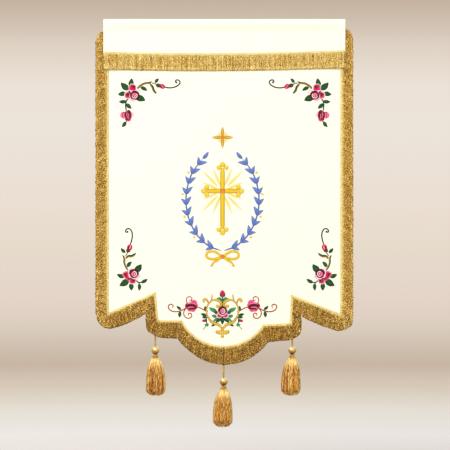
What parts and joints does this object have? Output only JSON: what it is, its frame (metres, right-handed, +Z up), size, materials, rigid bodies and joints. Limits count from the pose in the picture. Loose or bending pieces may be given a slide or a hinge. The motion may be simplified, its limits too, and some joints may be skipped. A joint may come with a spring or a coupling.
{
  "type": "church banner",
  "caption": "Ivory processional banner with a rod sleeve, stepped and scalloped hem, gold bullion fringe on every edge and gold tassels hanging from the hem.",
  "frame": {"origin": "middle of the banner's top edge, at the top of the rod sleeve", "axes": "+Z up along the banner, +X to the right as seen from the front, the front faces -Y"},
  "size_m": [0.8499, 0.0687, 1.3523],
  "materials": {
    "ivory_cloth": "ivory satin weave, soft sheen",
    "gold_fringe": "twisted gold bullion strands, speckled shine",
    "gold_cord": "twisted gold rayon cord",
    "gold_ball": "gold satin floss wound over a ball, glossy",
    "gold_skirt": "combed gold rayon strands, satin"
  },
  "bodies": {
    "root": {"rod_sleeve": "ivory_cloth", "ground_panel": "ivory_cloth", "header_fringe": "gold_fringe", "side_fringe_left": "gold_fringe", "side_fringe_right": "gold_fringe", "point_fringe_left": "gold_fringe", "point_fringe_right": "gold_fringe", "step_fringe_left": "gold_fringe", "step_fringe_right": "gold_fringe", "belly_fringe_left": "gold_fringe", "belly_fringe_right": "gold_fringe", "tassel_cord_left": "gold_cord", "tassel_cord_center": "gold_cord", "tassel_cord_right": "gold_cord", "tassel_ball_left": "gold_ball", "tassel_ball_center": "gold_ball", "tassel_ball_right": "gold_ball", "tassel_skirt_left": "gold_skirt", "tassel_skirt_center": "gold_skirt", "tassel_skirt_right": "gold_skirt"}
  },
  "joints": []
}
